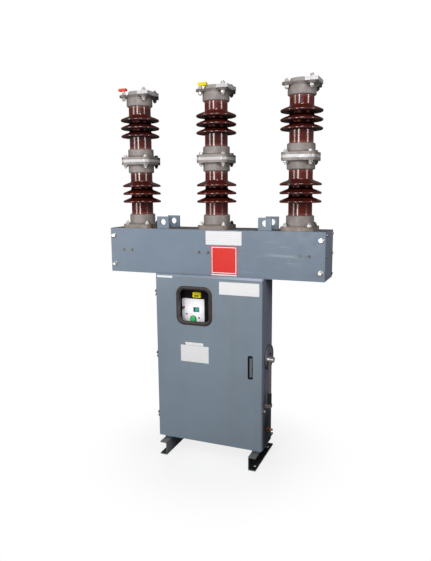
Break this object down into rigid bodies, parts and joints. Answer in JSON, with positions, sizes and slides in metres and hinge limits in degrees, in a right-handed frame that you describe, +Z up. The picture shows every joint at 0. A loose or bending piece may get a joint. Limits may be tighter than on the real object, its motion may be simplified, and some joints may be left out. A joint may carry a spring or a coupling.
{
  "type": "outdoor vacuum circuit breaker",
  "caption": "Outdoor high-voltage circuit breaker with porcelain poles on a box beam above a sheet steel mechanism cabinet with a windowed door, on channel feet.",
  "frame": {"origin": "on the ground at the middle of the four foundation bolts", "axes": "X to the right along the beam, Y from the door towards the rear, Z up along the poles"},
  "size_m": [1.2, 0.332, 1.983],
  "materials": {
    "grey_paint": "weathered blue-grey enamel on sheet steel",
    "black_paint": "matt black enamel",
    "white_paint": "white enamel",
    "green_plastic": "moulded green button",
    "zinc_steel": "zinc-plated steel",
    "bright_steel": "bright plated steel",
    "black_plastic": "moulded grip",
    "earth_brass": "brass hardware",
    "cast_alloy": "sand-cast alloy, dull",
    "brown_glaze": "brown glazed porcelain",
    "bright_alloy": "tinned bright metal",
    "black_rubber": "extruded glazing rubber",
    "clear_glass": "clear pane"
  },
  "bodies": {
    "frame": {"left_foot": "grey_paint", "right_foot": "grey_paint", "cabinet_floor": "grey_paint", "cabinet_left_wall": "grey_paint", "cabinet_right_wall": "grey_paint", "cabinet_back_wall": "grey_paint", "cabinet_roof": "grey_paint", "mechanism_housing": "black_paint", "mechanism_facia": "white_paint", "hinge_pins": "zinc_steel", "charging_collar": "black_paint", "charging_shaft": "bright_steel", "charging_crank": "bright_steel", "crank_grip": "black_plastic", "earth_terminals": "earth_brass", "beam_channel": "grey_paint", "beam_front_cover": "grey_paint", "beam_left_end": "grey_paint", "beam_right_end": "grey_paint", "lifting_lugs": "grey_paint", "left_base": "cast_alloy", "left_lower_porcelain": "brown_glaze", "left_joint_castings": "cast_alloy", "left_lower_terminal": "bright_alloy", "left_upper_porcelain": "brown_glaze", "left_cap": "cast_alloy", "left_upper_terminal": "bright_alloy", "centre_base": "cast_alloy", "centre_lower_porcelain": "brown_glaze", "centre_joint_castings": "cast_alloy", "centre_lower_terminal": "bright_alloy", "centre_upper_porcelain": "brown_glaze", "centre_cap": "cast_alloy", "centre_upper_terminal": "bright_alloy", "right_base": "cast_alloy", "right_lower_porcelain": "brown_glaze", "right_joint_castings": "cast_alloy", "right_lower_terminal": "bright_alloy", "right_upper_porcelain": "brown_glaze", "right_cap": "cast_alloy", "right_upper_terminal": "bright_alloy"},
    "door": {"door_panel": "grey_paint", "window_gasket": "black_rubber", "window_glass": "clear_glass", "handle_cup": "black_paint", "hinge_knuckles": "zinc_steel"},
    "handle": {"handle_lever": "grey_paint"},
    "button": {"close_button": "green_plastic"}
  },
  "joints": [
    {"name": "door_hinge", "type": "hinge", "parent": "frame", "child": "door", "pos_m": [-0.308, -0.1045, 0.557], "axis": [0, 0, -1], "range_deg": [0, 110]},
    {"name": "handle_lift", "type": "hinge", "parent": "door", "child": "handle", "pos_m": [0.237, -0.126, 0.598], "axis": [-1, 0, 0], "range_deg": [0, 50]},
    {"name": "close_push", "type": "slide", "parent": "frame", "child": "button", "axis": [0, 1, 0], "range_m": [0, 0.004], "stiffness_N_per_m": 500, "springref_m": -0.002}
  ]
}
